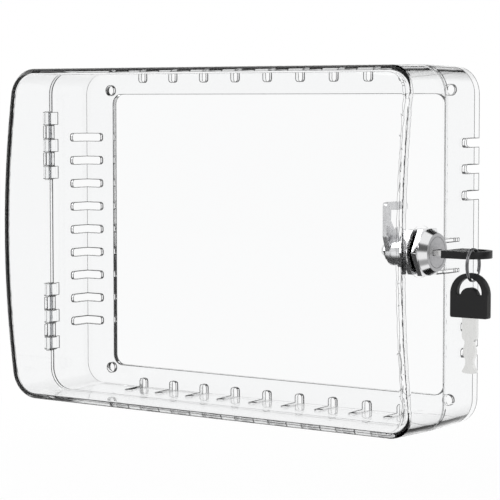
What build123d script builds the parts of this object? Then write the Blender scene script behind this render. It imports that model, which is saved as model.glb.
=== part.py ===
from build123d import *
from math import cos, radians, sin, sqrt, tan
import os

os.makedirs("parts", exist_ok=True)

# A clear, lockable box for a wall thermostat.  X runs to the lock side, Y into the
# wall, Z up.  The origin is the middle of the screw pattern on the wall face.

# ------------------------------------------------------------------ driving sizes, mm
# Shell: a wall-mounted tray and a hinged cover with a bowed front
box_width = 227.4        # outside, at the seam
box_height = 160.0       # outside, at the seam
base_depth = 28.0        # wall face to seam
cover_depth = 28.0       # seam to the front at its top and bottom edges
front_bow = 7.7          # how far the front bulges at mid height
shell_shift = -1.2       # the shell's middle, from the screw pattern's middle
wall = 2.5
corner_r = 12.8          # upright corners, at the seam
draft = 1.0              # degrees, both halves widest at the seam
front_edge_r = 3.6
seam_gap = 0.2

# Wall flange
opening_width = 189.6
opening_height = 134.5
opening_r = 5.0
screw_spacing_x = 194.0
screw_spacing_z = 138.4
screw_hole_d = 4.8

# Vent slots, which wrap round the rear edges from the side walls on to the flange
vent_width = 3.7
vent_corner_r = 1.3
vent_depth = 13.0        # along the hinge and lock sides, from the wall face
vent_depth_edge = 14.8   # the same along the top and the bottom
vent_reach = 6.8         # along the flange, from the outer face
vent_reach_hinge = 11.8  # the same on the hinge side, where the flange is wider
vent_rows = 9            # on each upright side
vent_columns = 9         # along the top and the bottom
vent_pitch_z = 11.5
vent_pitch_x = 18.8
vent_blanks = 3          # rows left out beside the keeper

# Hinges: three tray knuckles and two cover knuckles on a steel pin, twice
hinge_height = 42.2      # middle of each hinge above and below the middle
hinge_length = 33.2
hinge_knuckles = 5
tray_knuckle_d = 6.8
cover_knuckle_d = 5.0
tray_lug = 6.0           # fairing behind a knuckle, from the hinge axis
cover_lug = 5.0
pin_d = 2.2
pin_recess = 0.4         # each end of the pin, below the knuckle's end
pin_tip = 0.3

# Fits
press_clear = 0.02
run_clear = 0.06
swing_clear = 0.3
face_clear = 0.2

# Cam lock in the cover's side wall, with its axis along X
lock_ahead = 18.8        # lock axis ahead of the seam
lock_z = 0.6
seat_skim = 0.25         # spot face on each side of the drafted wall
gasket_t = 0.9
gasket_d = 17.0
collar_t = 2.3           # hexagon between the gasket and the head
collar_flats = 19.8
head_d = 19.8
head_rim = 0.4           # straight part of the bezel, above the hexagon
head_face_d = 16.2
head_height = 7.0        # face above the wall
bezel_t = 0.5
barrel_d = 15.0
barrel_flats = 13.2
barrel_length = 10.8     # behind the wall's seat
washer_t = 0.8
washer_d = 18.0
nut_flats = 19.0
nut_t = 2.4

plug_face_d = 13.1
plug_collar = 2.4
plug_d = 10.4
tail_square = 5.6
scalp_t = 0.4
stop_washer_t = 1.6
end_disc_d = 12.8        # stop washer and cam hub
stop_tab = 1.4
stop_tab_width = 2.0
cam_t = 2.0
cam_washer_t = 0.8
cam_washer_d = 8.4
cam_screw_d = 4.0
cam_screw_depth = 3.4
cam_screw_flats = 7.6
cam_screw_head = 1.6
cam_screw_end = 2.0      # tapered part past the hexagon
cam_screw_taper = 35     # degrees

# Keeper on the tray that the hook cam catches
keeper_front = 32.5      # its front face, from the wall face
keeper_back = 15.0       # rear end of its ribs, from the wall face
keeper_top = 4.9
keeper_bottom = -10.2
keeper_t = 1.8
keeper_tip = 1.8         # past the cam's plane
keeper_rib_reach = 6.5
keeper_rib_clear = 0.7   # from the cover's wall
hook_gap = 1.4           # behind the keeper when locked
hook_lift = 0.7          # arm above the keeper when locked
hook_t = 3.4
hook_depth = 11.0        # from the arm's underside to the hook's tip
arm_t = 3.6

# Wafers
wafers = 6
wafer_first = 3.2        # middle of the first wafer, from the wall's seat
wafer_pitch = 2.2
wafer_t = 1.0
wafer_width = 5.0
wafer_clear = 0.1
wafer_ear = 1.0
wafer_ear_height = 1.2
spring_d = 0.9
spring_length = 2.8

# Keys and ring
blade_width = 6.8
blade_t = 2.0
blade_length = 23.2      # bow to tip
blade_root = 7.0         # moulded into the bow
key_clear = 0.25         # keyway round the blade
bow_width = 17.6
bow_length = 18.6
bow_t = 3.1
bow_corner_r = 0.8
bow_standoff = 6.65      # lock face to bow, key home
bow_hole_rim = 2.0
bow_hole_r = 6.1
bow_hump_r = 4.0
bow_hump_gap = 4.0       # hole's height over the hump
bow_hole_depth = 7.0
blade_shoulder = 7.4     # plain part of the blade, from the bow
blade_cuts = ((10.0, 2.1), (13.9, 2.9), (17.9, 1.7), (21.2, 2.6))  # from the bow, half width
ring_round = 54          # degrees round the bow's arch, from its end to the ring's place
ring_yaw = 8             # degrees that the ring's plane turns from across the lock
ring_d = 14.1
ring_wire = 0.7
ring_pitch = 0.74
ring_step = 35           # degrees over which the wire crosses from one turn to the next
ring_step_end = -27      # degrees above +Y where the crossing ends
ring_second_turn = 318   # degrees
ring_gap = 0.85          # ring over the first key's bow, room for it to swing
spare_shift = 1.2        # ring from the middle of the spare key's bow
spare_gap = 0.8          # ring under the spare key's rim

# ------------------------------------------------------------------ places worked out
grow = tan(radians(draft))
seam_y = -base_depth
side_x = box_width / 2
lock_y = seam_y - lock_ahead
wall_at_lock = shell_shift + side_x - lock_ahead * grow
seat_x = wall_at_lock - seat_skim
seat_wall = wall - 2 * seat_skim
hinge_x = shell_shift - side_x
knuckle_pitch = hinge_length / hinge_knuckles
bow_radius = (box_height**2 / 4 + front_bow**2) / (2 * front_bow)
bow_middle_y = bow_radius - base_depth - cover_depth - front_bow
hinge_middles = (hinge_height, -hinge_height)
tray_turn = range(0, hinge_knuckles, 2)
cover_turn = range(1, hinge_knuckles, 2)


def facing(depth, x=0.0):
    """A plane parallel to the wall, depth in front of it, seen from the front."""
    return Plane(origin=(x, -depth, 0), x_dir=(1, 0, 0), z_dir=(0, -1, 0))


def across_lock(height):
    """A plane square to the lock axis, height outward from the wall's seat."""
    return Plane(origin=(seat_x + height, lock_y, lock_z), x_dir=(0, 1, 0), z_dir=(1, 0, 0))


along_lock = Plane(origin=(seat_x, lock_y, lock_z), x_dir=(1, 0, 0), z_dir=(0, -1, 0))
lock_axis = Axis((seat_x, lock_y, lock_z), (1, 0, 0))


def finish(builder, name):
    """Label a finished piece and write it under its own name."""
    builder.part.label = name
    export_step(builder.part, f"parts/{name}.step")


# ------------------------------------------------------------------ hinge shapes
def knuckle_plane(middle, turn, stretch=0.0):
    """The lower end of one knuckle's share of a hinge, lowered by stretch."""
    bottom = middle - hinge_length / 2 + turn * knuckle_pitch - stretch
    return Plane.XY.offset(bottom).move(Location((hinge_x, seam_y, 0)))


def knuckle_outline(plane, diameter, lug):
    """A round knuckle with a fairing that runs to the shell; lug is signed along Y."""
    radius = diameter / 2
    touch_x = -radius * sqrt(1 - (radius / lug) ** 2)
    with BuildSketch(plane) as outline:
        Circle(radius)
        with BuildLine():
            Polyline((0, 0), (touch_x, radius**2 / lug), (0, lug), (wall / 2, lug),
                     (wall / 2, 0), close=True)
        make_face()
    return outline.sketch


def disc(plane, diameter):
    """A round outline on a plane."""
    with BuildSketch(plane) as outline:
        Circle(diameter / 2)
    return outline.sketch


def knuckle_set(diameter, lug, turns):
    """Every knuckle of one half of both hinges, each shorter than its share."""
    for middle in hinge_middles:
        for turn in turns:
            outline = knuckle_outline(knuckle_plane(middle, turn, -face_clear), diameter, lug)
            extrude(outline, amount=knuckle_pitch - 2 * face_clear)


def knuckle_notches(diameter, turns):
    """Room in one half for the other half's knuckles."""
    for middle in hinge_middles:
        for turn in turns:
            outline = disc(knuckle_plane(middle, turn), diameter + 2 * swing_clear)
            extrude(outline, amount=knuckle_pitch, mode=Mode.SUBTRACT)


def hinge_bores(clearance):
    """The pin's bore through the knuckles of both hinges."""
    for middle in hinge_middles:
        outline = disc(knuckle_plane(middle, 0), pin_d + 2 * clearance)
        extrude(outline, amount=hinge_length, mode=Mode.SUBTRACT)


# ------------------------------------------------------------------ wall tray
def centred(count, pitch, blanks=0):
    """Evenly spaced places about zero, without the middle ones that blanks takes."""
    places = [(i - (count - 1) / 2) * pitch for i in range(count)]
    return [p for p in places if blanks == 0 or abs(p) > blanks * pitch / 2]


def side_vents(side, reach, rows):
    """Slots round one upright rear edge: side is -1 on the hinge side, 1 on the lock side."""
    outer_x = shell_shift + side * side_x
    wall_slot = vent_depth + vent_width
    flange_slot = reach + vent_width
    with BuildSketch(Plane.YZ.offset(outer_x)) as in_wall:
        with Locations(*[((vent_width - vent_depth) / 2, z) for z in rows]):
            RectangleRounded(wall_slot, vent_width, vent_corner_r)
    extrude(in_wall.sketch, amount=2 * wall, both=True, mode=Mode.SUBTRACT)
    with BuildSketch(facing(0)) as in_flange:
        with Locations(*[(outer_x + side * (vent_width - reach) / 2, z) for z in rows]):
            RectangleRounded(flange_slot, vent_width, vent_corner_r)
    extrude(in_flange.sketch, amount=wall, mode=Mode.SUBTRACT)


def edge_vents(side, columns):
    """Slots round the rear edge of the top (side 1) or the bottom (side -1)."""
    outer_z = side * box_height / 2
    with BuildSketch(Plane.XY.offset(outer_z)) as in_wall:
        with Locations(*[(x, (vent_width - vent_depth_edge) / 2) for x in columns]):
            RectangleRounded(vent_width, vent_depth_edge + vent_width, vent_corner_r)
    extrude(in_wall.sketch, amount=2 * wall, both=True, mode=Mode.SUBTRACT)
    with BuildSketch(facing(0)) as in_flange:
        with Locations(*[(x, outer_z + side * (vent_width - vent_reach) / 2) for x in columns]):
            RectangleRounded(vent_width, vent_reach + vent_width, vent_corner_r)
    extrude(in_flange.sketch, amount=wall, mode=Mode.SUBTRACT)


tray_back_width = box_width - 2 * base_depth * grow
tray_back_height = box_height - 2 * base_depth * grow
tray_back_r = corner_r - base_depth * grow
lock_rows = centred(vent_rows, vent_pitch_z, vent_blanks)
hook_plane_x = seat_x - barrel_length - stop_washer_t - cam_t / 2
keeper_wall_x = shell_shift + side_x - wall
keeper_inner_x = hook_plane_x - cam_t / 2 - keeper_tip

with BuildPart() as tray:
    with BuildSketch(facing(0, shell_shift)):
        RectangleRounded(tray_back_width, tray_back_height, tray_back_r)
    extrude(amount=base_depth, taper=-draft)
    with BuildSketch(facing(wall, shell_shift)):
        RectangleRounded(tray_back_width - 2 * wall * (1 - grow),
                         tray_back_height - 2 * wall * (1 - grow), tray_back_r - wall)
    extrude(amount=base_depth - wall, taper=-draft, mode=Mode.SUBTRACT)
    # opening for the thermostat, and the four screw holes at its corners
    with BuildSketch(facing(0)):
        RectangleRounded(opening_width, opening_height, opening_r)
        with GridLocations(screw_spacing_x, screw_spacing_z, 2, 2):
            Circle(screw_hole_d / 2)
    extrude(amount=wall, mode=Mode.SUBTRACT)
    side_vents(-1, vent_reach_hinge, centred(vent_rows, vent_pitch_z))
    side_vents(1, vent_reach, lock_rows)
    for side in (-1, 1):
        edge_vents(side, [shell_shift + x for x in centred(vent_columns, vent_pitch_x)])
    knuckle_notches(cover_knuckle_d, cover_turn)
    knuckle_set(tray_knuckle_d, tray_lug, tray_turn)
    hinge_bores(press_clear)
    # keeper: an upright web on two ribs, which reach forward past the seam
    with BuildSketch(facing(keeper_front - keeper_t)):
        with Locations(((keeper_inner_x + keeper_wall_x - keeper_rib_clear) / 2,
                        (keeper_top + keeper_bottom) / 2)):
            Rectangle(keeper_wall_x - keeper_rib_clear - keeper_inner_x,
                      keeper_top - keeper_bottom)
    extrude(amount=keeper_t)
    for rib_bottom in (keeper_bottom, keeper_top - keeper_t):
        with BuildSketch(Plane.XY.offset(rib_bottom)):
            with BuildLine():
                Polyline((keeper_wall_x - keeper_rib_clear, -keeper_front + keeper_t / 2),
                         (keeper_wall_x - keeper_rib_clear, seam_y),
                         (keeper_wall_x + wall / 2, seam_y),
                         (keeper_wall_x + wall / 2, -keeper_back),
                         (keeper_wall_x - keeper_t, -keeper_back),
                         (keeper_wall_x - keeper_rib_reach, -keeper_front + keeper_t / 2),
                         close=True)
            make_face()
        extrude(amount=keeper_t)
finish(tray, "wall_tray")


# ------------------------------------------------------------------ cover
def cover_form(inset):
    """The cover's outline, drawn in by inset: drafted sides and a bowed, rounded front."""
    with BuildPart() as form:
        with BuildSketch(facing(base_depth + seam_gap, shell_shift)):
            RectangleRounded(box_width - 2 * inset, box_height - 2 * inset, corner_r - inset)
        extrude(amount=cover_depth + front_bow, taper=draft)
        with BuildSketch(Plane.YZ):
            with Locations((bow_middle_y, 0)):
                Circle(bow_radius - inset)
        extrude(amount=box_width, both=True, mode=Mode.INTERSECT)
        rim = form.edges().filter_by(lambda edge: edge.center().Y < seam_y - cover_depth + inset + 1)
        fillet(rim, front_edge_r - inset)
    return form.part


cover_outside = cover_form(0)
cover_inside = cover_form(wall)

with BuildPart() as cover:
    add(cover_outside)
    add(cover_inside, mode=Mode.SUBTRACT)
    knuckle_notches(tray_knuckle_d, tray_turn)
    knuckle_set(cover_knuckle_d, -cover_lug, cover_turn)
    hinge_bores(run_clear)
    # flat seats for the lock's head and nut, and a hole that stops it turning
    with BuildSketch(across_lock(0)):
        Circle(gasket_d / 2 + face_clear)
    extrude(amount=wall, mode=Mode.SUBTRACT)
    with BuildSketch(across_lock(-seat_wall)):
        Circle(nut_flats / sqrt(3) + face_clear)
    extrude(amount=-wall, mode=Mode.SUBTRACT)
    with BuildSketch(across_lock(0)):
        Circle(barrel_d / 2 + run_clear)
        Rectangle(barrel_d * 2, barrel_flats + 2 * run_clear, mode=Mode.INTERSECT)
    extrude(amount=-wall, mode=Mode.SUBTRACT)
finish(cover, "clear_cover")

# ------------------------------------------------------------------ hinge pins
for place, middle in zip(("upper", "lower"), hinge_middles):
    with BuildPart() as pin:
        with BuildSketch(knuckle_plane(middle, 0, -pin_recess)):
            Circle(pin_d / 2)
        extrude(amount=hinge_length - 2 * pin_recess)
        chamfer(pin.edges().filter_by(GeomType.CIRCLE), pin_tip)
    finish(pin, f"{place}_hinge_pin")

# ------------------------------------------------------------------ lock: fixed pieces
nut_back = -seat_wall - washer_t - nut_t

with BuildPart() as gasket:
    with BuildSketch(across_lock(0)):
        Circle(gasket_d / 2)
        Circle(barrel_d / 2 + swing_clear, mode=Mode.SUBTRACT)
    extrude(amount=gasket_t)
finish(gasket, "lock_gasket")

head_base = gasket_t + collar_t

with BuildPart() as collar:
    with BuildSketch(across_lock(gasket_t)):
        RegularPolygon(collar_flats / 2, 6, major_radius=False)
        Circle(barrel_d / 2 + run_clear, mode=Mode.SUBTRACT)
    extrude(amount=collar_t)
finish(collar, "outer_nut")


def head_profile(inset):
    """Half section of the lock's head: a short rim, a long bevel and a flat face."""
    with BuildSketch(along_lock) as section:
        with BuildLine():
            Polyline((head_base, 0), (head_base, head_d / 2 - inset),
                     (head_base + head_rim, head_d / 2 - inset),
                     (head_height - inset, head_face_d / 2 - inset), (head_height - inset, 0),
                     close=True)
        make_face()
    return section.sketch


with BuildPart() as bezel:
    revolve(head_profile(0), axis=lock_axis)
    revolve(head_profile(bezel_t), axis=lock_axis, mode=Mode.SUBTRACT)
    with BuildSketch(across_lock(0)):
        Circle(plug_face_d / 2 + run_clear)
    extrude(amount=head_height, mode=Mode.SUBTRACT)
finish(bezel, "lock_bezel")

slot_shift = barrel_d / 2 - stop_tab_width / 2 - run_clear

with BuildPart() as housing:
    revolve(head_profile(bezel_t), axis=lock_axis)
    with BuildSketch(across_lock(head_base)):
        Circle(barrel_d / 2)
        Rectangle(barrel_d * 2, barrel_flats, mode=Mode.INTERSECT)
    extrude(amount=-barrel_length - head_base)
    # a slot at the inner end that the stop washer's tab turns in, a quarter of a turn
    with BuildSketch(across_lock(-barrel_length)):
        with Locations((slot_shift, slot_shift)):
            Rectangle(barrel_d, barrel_d)
    extrude(amount=stop_tab, mode=Mode.SUBTRACT)
    with BuildSketch(across_lock(head_height - plug_collar)):
        Circle(plug_face_d / 2 + run_clear)
    extrude(amount=plug_collar, mode=Mode.SUBTRACT)
    with BuildSketch(across_lock(head_height)):
        Circle(plug_d / 2 + run_clear)
    extrude(amount=-head_height - barrel_length, mode=Mode.SUBTRACT)
finish(housing, "lock_housing")

with BuildPart() as washer:
    with BuildSketch(across_lock(-seat_wall)):
        Circle(washer_d / 2)
        Circle(barrel_d / 2 + run_clear, mode=Mode.SUBTRACT)
    extrude(amount=-washer_t)
finish(washer, "nut_washer")

with BuildPart() as nut:
    with BuildSketch(across_lock(nut_back)):
        RegularPolygon(nut_flats / 2, 6, major_radius=False)
        Circle(barrel_d / 2 + run_clear, mode=Mode.SUBTRACT)
    extrude(amount=nut_t)
finish(nut, "lock_nut")

# ------------------------------------------------------------------ lock: turning pieces
cam_outer = -barrel_length - stop_washer_t
cam_inner = cam_outer - cam_t
wafer_places = [wafer_first - i * wafer_pitch for i in range(wafers)]
ear_bottom = wafer_width / 2
ear_top = ear_bottom + wafer_ear
spring_z = ear_bottom + wafer_ear / 2
keyway_width = blade_width + 2 * key_clear
keyway_height = blade_t + 2 * key_clear


with BuildPart() as plug:
    with BuildSketch(across_lock(head_height - scalp_t)):
        Circle(plug_face_d / 2)
    extrude(amount=scalp_t - plug_collar)
    with BuildSketch(across_lock(head_height - plug_collar)):
        Circle(plug_d / 2)
    extrude(amount=plug_collar - head_height - barrel_length)
    with BuildSketch(across_lock(-barrel_length)):
        Circle(plug_d / 2)
        Rectangle(tail_square, tail_square, mode=Mode.INTERSECT)
    extrude(amount=-stop_washer_t - cam_t + face_clear)
    with BuildSketch(across_lock(head_height)):
        Rectangle(keyway_width, keyway_height)
    extrude(amount=bow_standoff - blade_length - face_clear, mode=Mode.SUBTRACT)
    for place in wafer_places:
        with BuildSketch(across_lock(place)):
            Rectangle(plug_d, wafer_width + 2 * wafer_clear)
            with Locations((0, (ear_top + ear_bottom) / 2)):
                Rectangle(2 * spring_length, wafer_ear + 2 * wafer_clear)
        extrude(amount=wafer_t / 2 + wafer_clear, both=True, mode=Mode.SUBTRACT)
    with BuildSketch(across_lock(cam_inner)):
        Circle(cam_screw_d / 2 + press_clear)
    extrude(amount=cam_screw_depth, mode=Mode.SUBTRACT)
finish(plug, "lock_plug")

with BuildPart() as scalp:
    with BuildSketch(across_lock(head_height)):
        Circle(plug_face_d / 2)
        Rectangle(keyway_width, keyway_height, mode=Mode.SUBTRACT)
    extrude(amount=-scalp_t)
finish(scalp, "plug_face")

with BuildPart() as wafer_set:
    for place in wafer_places:
        with BuildSketch(across_lock(place)):
            Circle(plug_d / 2 - wafer_clear)
            Rectangle(plug_d, wafer_width, mode=Mode.INTERSECT)
            with Locations((spring_length / 2 + wafer_ear_height / 2, spring_z)):
                Rectangle(wafer_ear_height, wafer_ear)
            Rectangle(keyway_width, keyway_height, mode=Mode.SUBTRACT)
        extrude(amount=wafer_t / 2, both=True)
finish(wafer_set, "wafers")

with BuildPart() as spring_set:
    for place in wafer_places:
        upright = Plane(origin=(seat_x + place, lock_y - spring_length / 2, lock_z + spring_z),
                        x_dir=(1, 0, 0), z_dir=(0, 1, 0))
        with BuildSketch(upright):
            Circle(spring_d / 2)
        extrude(amount=spring_length)
finish(spring_set, "wafer_springs")

tab_outer = end_disc_d / 2
tab_inner = plug_d / 2 + run_clear

with BuildPart() as stop_washer:
    with BuildSketch(across_lock(-barrel_length)):
        Circle(end_disc_d / 2)
        Rectangle(tail_square + 2 * press_clear, tail_square + 2 * press_clear,
                  mode=Mode.SUBTRACT)
    extrude(amount=-stop_washer_t)
    with BuildSketch(across_lock(-barrel_length)):
        with Locations((0, (tab_outer + tab_inner) / 2)):
            Rectangle(stop_tab_width, tab_outer - tab_inner)
    extrude(amount=stop_tab - face_clear)
finish(stop_washer, "stop_washer")

# The cam is drawn as it stands when locked, its arm along the plane's x; the plane turns it
# a quarter up, to where it stands unlocked.
cam_plane = Plane(origin=(seat_x + cam_outer, lock_y, lock_z), x_dir=(0, 0, 1), z_dir=(1, 0, 0))
hook_inner = keeper_t - keeper_front - lock_y + hook_gap
hook_outer = hook_inner + hook_t
arm_under = keeper_top - lock_z + hook_lift
arm_over = arm_under + arm_t
hook_tip = arm_under - hook_depth
hub_r = end_disc_d / 2

with BuildPart() as cam:
    with BuildSketch(cam_plane) as cam_outline:
        with BuildLine():
            Polyline((0, 0), (0, hub_r), (hub_r, arm_over), (hook_outer, arm_over),
                     (hook_outer, hook_tip), (hook_inner, hook_tip), (hook_inner, arm_under),
                     (2 * hub_r, arm_under), (hub_r, 0), close=True)
        make_face()
        hook_end = cam_outline.vertices().group_by(Axis.X)[-1]
        fillet(hook_end, hook_t / 2)
        Circle(hub_r)
        Rectangle(tail_square + 2 * press_clear, tail_square + 2 * press_clear,
                  mode=Mode.SUBTRACT)
    extrude(amount=-cam_t)
finish(cam, "hook_cam")

with BuildPart() as cam_washer:
    with BuildSketch(across_lock(cam_inner)):
        Circle(cam_washer_d / 2)
        Circle(cam_screw_d / 2 + run_clear, mode=Mode.SUBTRACT)
    extrude(amount=-cam_washer_t)
finish(cam_washer, "cam_spring_washer")

with BuildPart() as cam_screw:
    with BuildSketch(across_lock(cam_inner - cam_washer_t)):
        RegularPolygon(cam_screw_flats / 2, 6, major_radius=False)
    extrude(amount=-cam_screw_head)
    with BuildSketch(across_lock(cam_inner - cam_washer_t - cam_screw_head)):
        Circle(cam_screw_flats / 2)
    extrude(amount=-cam_screw_end, taper=cam_screw_taper)
    with BuildSketch(across_lock(cam_inner - cam_washer_t)):
        Circle(cam_screw_d / 2)
    extrude(amount=cam_washer_t + cam_screw_depth - face_clear)
finish(cam_screw, "cam_screw")


# ------------------------------------------------------------------ keys and split ring
bow_arch_r = bow_width / 2
arch_x = bow_length - bow_arch_r
hole_x = bow_length - bow_hole_rim - bow_hole_r
hump_x = bow_length - bow_hole_rim - bow_hump_gap - bow_hump_r
hole_bottom_x = bow_length - bow_hole_rim - bow_hole_depth


def key_blade(plane, name):
    """A double-sided blade: wavy edges that mirror each other and a round tip."""
    half = blade_width / 2
    with BuildPart() as blade:
        with BuildSketch(plane):
            with BuildLine():
                Polyline((blade_root, 0), (blade_root, half), (-blade_shoulder, half))
                Spline((-blade_shoulder, half), *[(-x, y) for x, y in blade_cuts],
                       (-blade_length, 0), tangents=((-1, 0), (0, -1)))
                mirror(about=Plane.XZ)
            make_face()
        extrude(amount=blade_t / 2, both=True)
    finish(blade, name)


def key_bow(plane, name):
    """A moulded grip: flat at the blade, arched at the far end, with a crescent hole."""
    with BuildPart() as bow:
        with BuildSketch(plane):
            with BuildLine():
                Polyline((arch_x, bow_arch_r), (0, bow_arch_r), (0, -bow_arch_r),
                         (arch_x, -bow_arch_r))
                ThreePointArc((arch_x, -bow_arch_r), (bow_length, 0), (arch_x, bow_arch_r))
            make_face()
        extrude(amount=bow_t / 2, both=True)
        upright = bow.edges().filter_by(Axis(plane.origin, plane.z_dir))
        fillet(upright.sort_by(Axis(plane.origin, plane.x_dir))[:2], bow_corner_r)
        with BuildSketch(plane):
            with Locations((hole_x, 0)):
                Circle(bow_hole_r)
            with Locations((hump_x, 0)):
                Circle(bow_hump_r, mode=Mode.SUBTRACT)
            with Locations((hole_bottom_x - bow_hole_r, 0)):
                Rectangle(2 * bow_hole_r, 4 * bow_hole_r, mode=Mode.SUBTRACT)
        extrude(amount=bow_t / 2, both=True, mode=Mode.SUBTRACT)
        with BuildSketch(plane):
            with Locations((blade_root / 2, 0)):
                Rectangle(blade_root + 2 * press_clear, blade_width + 2 * press_clear)
        extrude(amount=blade_t / 2 + press_clear, both=True, mode=Mode.SUBTRACT)
    finish(bow, name)


# The ring hangs over the rim on the near side of the first key's bow, clear of the hump.
ring_r = (ring_d - ring_wire) / 2
ring_inner = ring_r - ring_wire / 2
round_cos, round_sin = cos(radians(ring_round)), sin(radians(ring_round))
rim_middle = (bow_arch_r + bow_hole_r + (hole_x - arch_x) * round_cos) / 2
hang_x = arch_x + rim_middle * round_cos
hang_y = -rim_middle * round_sin
ring_drop = bow_t / 2 + ring_gap - ring_inner
key_home = Plane(origin=(seat_x + head_height + bow_standoff, lock_y, lock_z),
                 x_dir=(1, 0, 0), z_dir=(0, 0, 1))
hang_point = key_home.origin + Vector(hang_x, hang_y, 0)
rim_under = ring_drop - sqrt(ring_inner**2 - bow_t**2 / 4) + spare_gap
spare_place = Vector(-spare_shift, 0, rim_under + bow_hole_rim - bow_length)
spare_hang = Plane(origin=hang_point + spare_place,
                   x_dir=(0, 0, 1), z_dir=(0, 1, 0))

key_blade(key_home, "key_blade")
key_bow(key_home, "key_bow")
key_blade(spare_hang, "spare_key_blade")
key_bow(spare_hang, "spare_key_bow")

ring_centre = hang_point + Vector(0, 0, ring_drop)
ring_normal = Vector(1, 0, 0).rotate(Axis.Z, ring_yaw)
ring_axis = Axis(ring_centre, ring_normal)


def on_ring(side, degrees):
    """A plane across the wire, square to it: side is -1 or 1 for the two turns."""
    outward = Vector(0, 1, 0).rotate(Axis.X, degrees).rotate(Axis.Z, ring_yaw)
    return Plane(origin=ring_centre + outward * ring_r + ring_normal * (side * ring_pitch / 2),
                 x_dir=ring_normal, z_dir=ring_normal.cross(outward))


with BuildPart() as ring:
    for side, turn in ((-1, 360 - ring_step), (1, ring_second_turn)):
        with BuildSketch(on_ring(side, ring_step_end)) as wire:
            Circle(ring_wire / 2)
        revolve(wire.sketch, axis=ring_axis, revolution_arc=turn)
    leave = on_ring(-1, ring_step_end - ring_step)
    arrive = on_ring(1, ring_step_end)
    with BuildLine() as crossing:
        Spline(leave.origin, arrive.origin, tangents=(leave.z_dir, arrive.z_dir))
    with BuildSketch(leave) as wire:
        Circle(ring_wire / 2)
    sweep(wire.sketch, path=crossing.line)
finish(ring, "split_ring")
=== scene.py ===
from math import cos, pi, radians, sin, sqrt

import bmesh
import bpy
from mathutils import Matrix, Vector


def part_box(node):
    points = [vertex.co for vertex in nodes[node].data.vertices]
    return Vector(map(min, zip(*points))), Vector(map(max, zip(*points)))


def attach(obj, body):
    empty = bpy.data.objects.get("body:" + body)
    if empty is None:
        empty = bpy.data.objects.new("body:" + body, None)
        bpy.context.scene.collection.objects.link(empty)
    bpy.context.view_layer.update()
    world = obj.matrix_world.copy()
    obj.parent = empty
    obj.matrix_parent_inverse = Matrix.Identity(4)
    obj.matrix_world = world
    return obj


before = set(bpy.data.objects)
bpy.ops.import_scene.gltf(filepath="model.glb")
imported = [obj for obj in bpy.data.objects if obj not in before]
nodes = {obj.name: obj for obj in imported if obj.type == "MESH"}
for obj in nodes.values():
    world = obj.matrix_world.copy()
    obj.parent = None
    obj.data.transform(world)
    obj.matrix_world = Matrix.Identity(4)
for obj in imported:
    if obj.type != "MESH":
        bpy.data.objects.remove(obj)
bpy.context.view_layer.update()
scene = bpy.context.scene

# ------------------------------------------------------------------ places, from the frame
bezel_low, bezel_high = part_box("lock_bezel")
plug_low, plug_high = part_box("plug_face")
LOCK_FACE = bezel_high.x
LOCK_Y = (bezel_low.y + bezel_high.y) / 2
LOCK_Z = (bezel_low.z + bezel_high.z) / 2
PLUG_RADIUS = (plug_high.z - plug_low.z) / 2
WELD = 0.000002           # points of a mesh that are nearer than this are one point

# ------------------------------------------------------------------ camera
CAMERA_PLACE = Vector((0.5651, -0.7915, 0.0644))
CAMERA_FORWARD = Vector((-0.5882, 0.8055, -0.0724))
SENSOR_MM = 36.0
LENS_MM = 148.25


def add_camera():
    """A long lens to the right of the box, just above its middle."""
    camera_data = bpy.data.cameras.new("camera")
    camera_data.sensor_width = SENSOR_MM
    camera_data.lens = LENS_MM
    camera = bpy.data.objects.new("camera", camera_data)
    camera.location = CAMERA_PLACE
    camera.rotation_euler = CAMERA_FORWARD.to_track_quat("-Z", "Y").to_euler()
    scene.collection.objects.link(camera)
    scene.camera = camera


# ------------------------------------------------------------------ node helpers
def feed(tree, socket, value):
    """Set a socket to a plain value, or link another node's output to it."""
    if isinstance(value, bpy.types.NodeSocket):
        tree.links.new(value, socket)
    else:
        socket.default_value = value


def add(tree, kind, operation=None, in_order=(), **sockets):
    """A node of a tree, with values or other nodes' outputs on its sockets, in order or by name."""
    node = tree.nodes.new("ShaderNode" + kind)
    if operation:
        node.operation = operation
    for socket, value in zip(node.inputs, in_order):
        feed(tree, socket, value)
    for name, value in sockets.items():
        feed(tree, node.inputs[name.replace("_", " ")], value)
    return node


def number(tree, operation, *values):
    """The output of a Math node."""
    return add(tree, "Math", operation, values).outputs[0]


def measure(tree, operation, *vectors):
    """The number that a Vector Math node works out."""
    return add(tree, "VectorMath", operation, vectors).outputs["Value"]


def at_least(tree, count, least):
    """1 where a whole number is at least this much, else 0."""
    return number(tree, "GREATER_THAN", count, least - 0.5)


def blend(tree, factor, low, high):
    """A colour: low where factor is 0, high where it is 1."""
    node = tree.nodes.new("ShaderNodeMix")
    node.data_type = "RGBA"
    tree.links.new(factor, node.inputs["Factor"])
    for name, value in (("A", low), ("B", high)):
        socket = next(i for i in node.inputs if i.name == name and i.type == "RGBA")
        feed(tree, socket, value)
    return next(o for o in node.outputs if o.type == "RGBA")


def spread(tree, value, low, high, new_low, new_high):
    """A value's range mapped smoothly to another."""
    node = add(tree, "MapRange", Value=value, From_Min=low, From_Max=high,
               To_Min=new_low, To_Max=new_high)
    node.interpolation_type = "SMOOTHSTEP"
    return node.outputs[0]


def object_place(tree):
    return add(tree, "TexCoord").outputs["Object"]


def grey(level):
    return (level, level, level, 1.0)


# ------------------------------------------------------------------ material helpers
EVEN = (1, 1, 1)                # a pattern's stretch along x, y and z: none
GLOSS_PATCHES = (0.3, 0.7)      # the part of a noise's range that a change of gloss takes
COLOUR_PATCHES = (0.35, 0.65)   # and the part that a change of colour takes


def give(made, socket, value):
    """Put a plain value, or a node's output, on a socket of a material's shader."""
    tree = made.node_tree
    feed(tree, tree.nodes["Principled BSDF"].inputs[socket], value)


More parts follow.
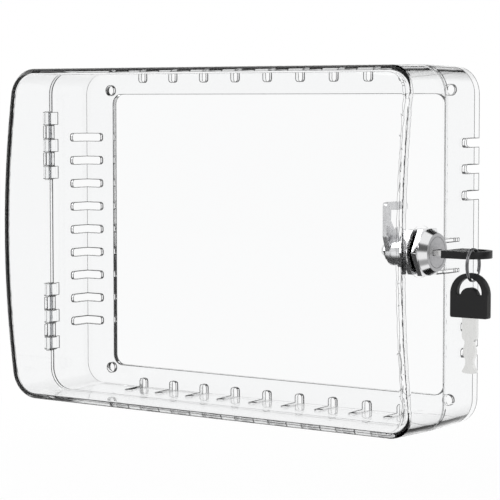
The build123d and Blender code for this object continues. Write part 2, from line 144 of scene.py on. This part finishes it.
def material(name, colour, roughness, **sockets):
    """A Principled material: plain numbers on its own sockets, named with underscores."""
    made = bpy.data.materials.new(name)
    made.use_nodes = True
    give(made, "Base Color", (*colour, 1.0))
    give(made, "Roughness", roughness)
    for socket, value in sockets.items():
        give(made, socket.replace("_", " "), value)
    return made


def patches(made, scale, stretch=EVEN, detail=2.0):
    """A noise over a material's object space; scale is in patches per metre."""
    tree = made.node_tree
    mapping = add(tree, "Mapping", Vector=object_place(tree), Scale=stretch)
    return add(tree, "TexNoise", Vector=mapping.outputs[0], Scale=scale, Detail=detail).outputs["Fac"]


def vary_roughness(made, scale, low, high, stretch=EVEN):
    """Uneven gloss, from low to high."""
    noise = patches(made, scale, stretch)
    give(made, "Roughness", spread(made.node_tree, noise, *GLOSS_PATCHES, low, high))


def vary_colour(made, scale, low, high, stretch=EVEN):
    """Uneven colour, between two."""
    tree = made.node_tree
    factor = spread(tree, patches(made, scale, stretch, 3.0), *COLOUR_PATCHES, 0.0, 1.0)
    give(made, "Base Color", blend(tree, factor, (*low, 1.0), (*high, 1.0)))


def roughen(made, scale, height, stretch=EVEN, detail=2.0):
    """A bumpy surface; height is in metres."""
    bump = add(made.node_tree, "Bump", Height=patches(made, scale, stretch, detail),
               Distance=height, Strength=1.0)
    give(made, "Normal", bump.outputs[0])


# ------------------------------------------------------------------ materials
CHROME = (0.81, 0.81, 0.82)
SATIN = (0.45, 0.45, 0.46)
POLISHED = 0.08           # roughness of polished metal
BEZEL_ROUGHNESS = 0.14
SATIN_ROUGHNESS = 0.36
FACE_SKIN = 0.0001        # what is nearer than this to the lock's front plane is its face


def clear_plastic():
    """The two shells: clear and polished, with the faint waves of a moulding."""
    made = material("clear_plastic", (0.962, 0.965, 0.967), 0.0, IOR=1.26,
                    Transmission_Weight=1.0)
    roughen(made, scale=20.0, height=0.00002, detail=0.0)
    return made


def steel():
    """Pins, springs and spring washer: steel, streaked along the pins."""
    made = material("steel", (0.60, 0.61, 0.63), 0.3, Metallic=1.0)
    vary_roughness(made, scale=900.0, low=0.22, high=0.4, stretch=(1, 1, 0.1))
    return made


def chrome():
    """The lock's outer nut and housing: bright plating."""
    made = material("chrome", CHROME, POLISHED, Metallic=1.0)
    vary_roughness(made, scale=500.0, low=0.05, high=0.12)
    return made


def bezel_chrome():
    """The lock's head: polished on its bevel, satin on its flat face, like the plug."""
    made = material("bezel_chrome", CHROME, POLISHED, Metallic=1.0)
    tree = made.node_tree
    split = add(tree, "SeparateXYZ", Vector=object_place(tree))
    on_face = number(tree, "GREATER_THAN", split.outputs["X"], LOCK_FACE - FACE_SKIN)
    give(made, "Base Color", blend(tree, on_face, (*CHROME, 1.0), (*SATIN, 1.0)))
    give(made, "Roughness", spread(tree, on_face, 0.0, 1.0, BEZEL_ROUGHNESS, SATIN_ROUGHNESS))
    roughen(made, scale=1500.0, height=0.000004, stretch=(3, 0.3, 0.3))
    return made


def ring_wire():
    """The split ring: spring steel wire, darker than the chrome."""
    made = material("ring_wire", (0.17, 0.17, 0.175), POLISHED, Metallic=1.0)
    vary_roughness(made, scale=800.0, low=0.05, high=0.12)
    return made


def satin_chrome():
    """The plug's front face: plated over a lightly textured casting."""
    made = material("satin_chrome", SATIN, SATIN_ROUGHNESS, Metallic=1.0)
    vary_roughness(made, scale=1400.0, low=0.3, high=0.45)
    roughen(made, scale=1600.0, height=0.000003)
    return made


def zinc():
    """The lock's inner nut, plug, stop washer, cam and screw: bright zinc plate."""
    made = material("zinc_plate", (0.68, 0.68, 0.69), 0.24, Metallic=1.0)
    vary_colour(made, scale=220.0, low=(0.65, 0.65, 0.66), high=(0.71, 0.71, 0.72))
    vary_roughness(made, scale=700.0, low=0.18, high=0.28)
    return made


def brass():
    """Wafers, with uneven tarnish."""
    made = material("brass", (0.78, 0.60, 0.30), 0.3, Metallic=1.0)
    vary_colour(made, scale=400.0, low=(0.70, 0.52, 0.25), high=(0.82, 0.64, 0.34))
    return made


def nickel():
    """Key blades: milled, with fine lines, across the one that hangs."""
    made = material("nickel", (0.80, 0.80, 0.79), 0.3, Metallic=1.0)
    vary_roughness(made, scale=1500.0, low=0.24, high=0.36, stretch=(1, 1, 0.15))
    roughen(made, scale=2500.0, height=0.000004, stretch=(0.2, 1, 1))
    return made


def rubber():
    """The gasket: matt black."""
    made = material("black_rubber", (0.015, 0.015, 0.016), 0.6)
    vary_roughness(made, scale=900.0, low=0.5, high=0.75)
    return made


def black_zinc():
    """The washer inside the cover: zinc plate with a black finish."""
    made = material("black_zinc", (0.02, 0.02, 0.021), 0.4, Specular_IOR_Level=0.4)
    vary_roughness(made, scale=700.0, low=0.34, high=0.5)
    return made


def black_plastic():
    """Key bows: satin moulding with a fine spark texture."""
    made = material("black_plastic", (0.009, 0.009, 0.0095), 0.42, Specular_IOR_Level=0.2)
    vary_roughness(made, scale=600.0, low=0.36, high=0.5)
    roughen(made, scale=2200.0, height=0.00003, detail=3.0)
    return made


def painted_edge_shade():
    """Painted shade for the dark lines that a moulded edge makes by bending the light away: smoky and
    half clear.
    """
    made = material("painted_edge_line", (0.14, 0.14, 0.145), 0.25, IOR=1.45, Transmission_Weight=0.4)
    vary_roughness(made, scale=500.0, low=0.2, high=0.4)
    return made


def painted_gap_shade():
    """Painted shade: a dark surface for a gap too narrow for light to get into."""
    made = material("painted_gap_shade", (0.03, 0.03, 0.03), 0.6)
    vary_roughness(made, scale=900.0, low=0.5, high=0.7)
    return made


FINISHES = (
    (clear_plastic, ("wall_tray", "clear_cover")),
    (steel, ("upper_hinge_pin", "lower_hinge_pin", "wafer_springs", "cam_spring_washer")),
    (chrome, ("outer_nut", "lock_housing")),
    (bezel_chrome, ("lock_bezel",)),
    (ring_wire, ("split_ring",)),
    (satin_chrome, ("plug_face",)),
    (black_zinc, ("nut_washer",)),
    (zinc, ("lock_nut", "lock_plug", "stop_washer", "hook_cam", "cam_screw")),
    (brass, ("wafers",)),
    (nickel, ("key_blade", "spare_key_blade")),
    (rubber, ("lock_gasket",)),
    (black_plastic, ("key_bow", "spare_key_bow")),
)


def finish_nodes():
    """Each CAD node gets its finish, and nodes of one finish share it."""
    for finish, names in FINISHES:
        made = finish()
        for name in names:
            nodes[name].data.materials.clear()
            nodes[name].data.materials.append(made)


# ------------------------------------------------------------------ softened edges
BEVEL_ANGLE = radians(35)
BEVEL_SEGMENTS = 2
BEVEL_WIDTHS = {
    "key_bow": 0.0005, "spare_key_bow": 0.0005,
    "lock_nut": 0.0002, "outer_nut": 0.00015, "hook_cam": 0.00015, "cam_screw": 0.0002,
    "key_blade": 0.00012, "spare_key_blade": 0.00012,
}


def soften_edges():
    """A small rounding on the edges that catch light."""
    for name, width in BEVEL_WIDTHS.items():
        weld = nodes[name].modifiers.new("weld", "WELD")
        weld.merge_threshold = WELD
        bevel = nodes[name].modifiers.new("bevel", "BEVEL")
        bevel.limit_method = "ANGLE"
        bevel.angle_limit = BEVEL_ANGLE
        bevel.width = width
        bevel.segments = BEVEL_SEGMENTS
        bevel.harden_normals = True


# ------------------------------------------------------------------ painted shade along the edges of the clear parts
SHARP_ANGLE = radians(30)   # the faces at a sharp edge turn by more than this
FLAT_ANGLE = radians(12)    # the bowed front and the sides lean by less than this
RIM_DEPTH = 0.009           # the rounded rim lies within this depth of the front
SIDE_SKIN = 0.0002          # what is nearer than this to an outer side is on it
SEAT_RADIUS = 0.016         # the lock seat's rim is too soft to show a line
STRIP_SIDES = 4
TRAY_STRIP = 0.00016        # radius of the strips along an edge
COVER_STRIP = 0.00012
RIM_STRIP = 0.00007


def zone(face):
    """Where a face of the cover lies: 0 on the front, 1 on the rounded rim, 2 on a side."""
    lean = abs(face.normal.y)
    if lean > cos(FLAT_ANGLE):
        return 0
    return 2 if lean < sin(FLAT_ANGLE) else 1


def rim_edges(shape):
    """Edges where a cover's front, its rounded rim and its sides run into each other."""
    rim_end = min(v.co.y for v in shape.verts) + RIM_DEPTH
    return [e for e in shape.edges
            if len(e.link_faces) == 2 and e.calc_face_angle(0.0) <= SHARP_ANGLE
            and all(v.co.y < rim_end for v in e.verts)
            and abs(zone(e.link_faces[0]) - zone(e.link_faces[1])) == 1]


def sharp_edges(shape):
    """A shape's sharp edges, but for those on its outer sides and round the lock's seat."""
    top = max(v.co.z for v in shape.verts)
    left = min(v.co.x for v in shape.verts)
    right = max(v.co.x for v in shape.verts)

    def left_out(vert):
        x, y, z = vert.co
        on_side = abs(z) > top - SIDE_SKIN or x > right - SIDE_SKIN or x < left + SIDE_SKIN
        on_seat = x > 0 and sqrt((y - LOCK_Y) ** 2 + (z - LOCK_Z) ** 2) < SEAT_RADIUS
        return on_side or on_seat

    return [e for e in shape.edges
            if len(e.link_faces) == 2 and e.calc_face_angle(0.0) > SHARP_ANGLE
            and not all(left_out(v) for v in e.verts)]


def edge_ends(node, choose):
    """Ends of the chosen edges of a node, each with the direction out of the solid there."""
    shape = bmesh.new()
    shape.from_mesh(nodes[node].data)
    bmesh.ops.remove_doubles(shape, verts=shape.verts, dist=WELD)
    shape.normal_update()
    chosen = choose(shape)
    outward = {}
    for edge in chosen:
        lean = edge.link_faces[0].normal + edge.link_faces[1].normal
        for vert in edge.verts:
            outward[vert] = outward.get(vert, Vector()) + lean
    ends = [[(v.co.copy(), outward[v].normalized()) for v in edge.verts] for edge in chosen]
    shape.free()
    return ends


def add_strip(strips, ends, radius):
    """A thin open bar along one edge, far enough in to stay under the surface."""
    (start, _), (end, _) = ends
    along = end - start
    if along.length < WELD:
        return
    across = along.orthogonal().normalized()
    other = along.cross(across).normalized()
    rings = []
    for point, out in ends:
        centre = point - out * radius * sqrt(2)
        turns = (2 * pi * i / STRIP_SIDES for i in range(STRIP_SIDES))
        rings.append([strips.verts.new(centre + (across * cos(t) + other * sin(t)) * radius)
                      for t in turns])
    for i in range(STRIP_SIDES):
        j = (i + 1) % STRIP_SIDES
        strips.faces.new((rings[0][i], rings[0][j], rings[1][j], rings[1][i]))


def edge_strips(name, node, body, choose, radius, look):
    """A piece of thin strips just under the chosen edges of a clear node."""
    strips = bmesh.new()
    for ends in edge_ends(node, choose):
        add_strip(strips, ends, radius)
    mesh = bpy.data.meshes.new(name)
    strips.to_mesh(mesh)
    strips.free()
    mesh.materials.append(look)
    piece = bpy.data.objects.new(name, mesh)
    scene.collection.objects.link(piece)
    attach(piece, body)


def paint_clear_edge_shade():
    """Small mould radii bend the light, so the clear parts' edges show as fine dark lines; smoky
    strips just under the edges paint that shade.
    """
    look = painted_edge_shade()
    edge_strips("tray_edge_shade", "wall_tray", "tray", sharp_edges, TRAY_STRIP, look)
    edge_strips("cover_edge_shade", "clear_cover", "cover", sharp_edges, COVER_STRIP, look)
    edge_strips("cover_rim_shade", "clear_cover", "cover", rim_edges, RIM_STRIP, look)


# ------------------------------------------------------------------ painted shade in the gap around the plug
GAP_OUT = 0.00005         # the dark line runs this far out from the plug's edge
GAP_LINE = 0.00012        # its own radius
GAP_SINK = 0.6 * GAP_LINE
GAP_STEPS = 96            # steps round the plug, and round the line itself
GAP_LINE_STEPS = 8


def add_plug_gap():
    """A dark ring of painted shade in the gap between the plug's face and the bezel."""
    bpy.ops.mesh.primitive_torus_add(
        major_radius=PLUG_RADIUS + GAP_OUT, minor_radius=GAP_LINE,
        major_segments=GAP_STEPS, minor_segments=GAP_LINE_STEPS,
        location=(LOCK_FACE - GAP_SINK, LOCK_Y, LOCK_Z), rotation=(0, pi / 2, 0))
    gap = bpy.context.object
    gap.name = "plug_gap_shade"
    gap.data.materials.append(painted_gap_shade())
    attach(gap, "cover")


# ------------------------------------------------------------------ floor
FLOOR_DROP = 0.22
FLOOR_REACH = 8.0
FLOOR_WHITE = 0.95
FLOOR_ROUGHNESS = 0.9
SHADOW_SHARE = 0.4        # how much of a shadow shows near the middle of the floor
SHADOW_NEAR = 0.35        # it starts to fade at this distance
SHADOW_FAR = 1.0          # and the floor is plain white beyond this one
INNER_DARK = 0.05         # level of the floor in light that was reflected inside a clear wall
INNER_NEAR = 0.24         # it is that dark up to this distance
INNER_FAR = 0.6           # and white beyond this one


def floor_look():
    """White with soft shadows; through the clear walls white too, or dark after a reflection."""
    look = bpy.data.materials.new("floor")
    look.use_nodes = True
    tree = look.node_tree
    matt = tree.nodes["Principled BSDF"]
    matt.inputs["Base Color"].default_value = grey(FLOOR_WHITE)
    matt.inputs["Roughness"].default_value = FLOOR_ROUGHNESS
    matt.inputs["Specular IOR Level"].default_value = 0.0

    path = add(tree, "LightPath").outputs
    away = measure(tree, "LENGTH", object_place(tree))
    inner = at_least(tree, path["Glossy Depth"], 1)
    inner_level = spread(tree, away, INNER_NEAR, INNER_FAR, INNER_DARK, 1.0)
    glow = add(tree, "Emission", Color=blend(tree, inner, grey(1.0), inner_level))

    white_share = spread(tree, away, SHADOW_NEAR, SHADOW_FAR, 1 - SHADOW_SHARE, 1.0)
    open_view = number(tree, "MULTIPLY", path["Is Camera Ray"], white_share)
    glowing = number(tree, "MAXIMUM", open_view, path["Is Transmission Ray"])
    show = add(tree, "MixShader", None, (glowing, matt.outputs[0], glow.outputs[0]))
    feed(tree, tree.nodes["Material Output"].inputs["Surface"], show.outputs[0])
    return look


def add_floor():
    """A plain white plane, well below the box."""
    bpy.ops.mesh.primitive_plane_add(size=FLOOR_REACH, location=(0, 0, -FLOOR_DROP))
    floor = bpy.context.object
    floor.name = "floor"
    floor.visible_glossy = False
    floor.data.materials.append(floor_look())


# ------------------------------------------------------------------ studio
AMBIENT = 0.88
# black cards that only polished metal and the plastic's edges show: where each stands, the
# cosine at its soft outer edge and at its inner one, and its level
CARDS = (
    ((-0.12, 0.72, 0.68), 0.88, 0.93, 0.01),
    ((-0.06, 0.48, -0.87), 0.84, 0.90, 0.01),
    ((0.40, -0.82, 0.38), 0.91, 0.985, 0.12),
    ((0.32, -0.58, -0.75), 0.93, 0.995, 0.4),
    ((0.95, 0.20, 0.10), 0.86, 0.93, 0.03),
    ((-0.50, -0.87, 0.0), 0.90, 0.97, 0.85),
)
# reflections inside a clear wall, and the share of the light that is left after so many
INNER = ((1, 1.0), (2, 0.9), (3, 0.75))
# each lamp's place, size and power; they point at the box
LAMPS = {
    "key": ((-0.6, -1.0, 0.9), 0.9, 6.0),
    "fill": ((1.0, -0.4, 0.5), 0.7, 3.0),
}


def card_light(tree):
    """White but for the cards, by direction."""
    direction = add(tree, "TexCoord").outputs["Generated"]
    shine = 1.0
    for toward, outer, inner, level in CARDS:
        near = measure(tree, "DOT_PRODUCT", direction, Vector(toward).normalized())
        card = spread(tree, near, outer, inner, 1.0, level)
        shine = number(tree, "MULTIPLY", shine, card)
    return shine


def inner_light(tree, depth, shine):
    """White straight through a clear wall, and the cards after a reflection inside it."""
    through = grey(1.0)
    for bounce, level in INNER:
        share = number(tree, "MULTIPLY", shine, level)
        through = blend(tree, at_least(tree, depth, bounce), through, share)
    return through


def add_studio():
    """A white room: plain to the eye, grey on matt surfaces, with cards in polished ones."""
    world = bpy.data.worlds.new("studio")
    scene.world = world
    world.use_nodes = True
    tree = world.node_tree
    path = add(tree, "LightPath").outputs
    shine = card_light(tree)
    through = inner_light(tree, path["Glossy Depth"], shine)
    colour = blend(tree, path["Is Glossy Ray"], grey(AMBIENT), shine)
    colour = blend(tree, path["Is Transmission Ray"], colour, through)
    colour = blend(tree, path["Is Camera Ray"], colour, grey(1.0))
    backdrop = tree.nodes["Background"]
    feed(tree, backdrop.inputs["Strength"], 1.0)
    feed(tree, backdrop.inputs["Color"], colour)


def add_lamps():
    """Two soft lamps in front, a strong one at the left and a weak one at the right."""
    for name, (place, size, power) in LAMPS.items():
        lamp_data = bpy.data.lights.new(name, "AREA")
        lamp_data.size = size
        lamp_data.energy = power
        lamp = bpy.data.objects.new(name, lamp_data)
        lamp.location = place
        lamp.rotation_euler = Vector(place).to_track_quat("Z", "Y").to_euler()
        scene.collection.objects.link(lamp)


# ------------------------------------------------------------------ the scene
add_camera()
finish_nodes()
soften_edges()
paint_clear_edge_shade()
add_plug_gap()
add_floor()
add_studio()
add_lamps()
scene.view_settings.view_transform = "Standard"
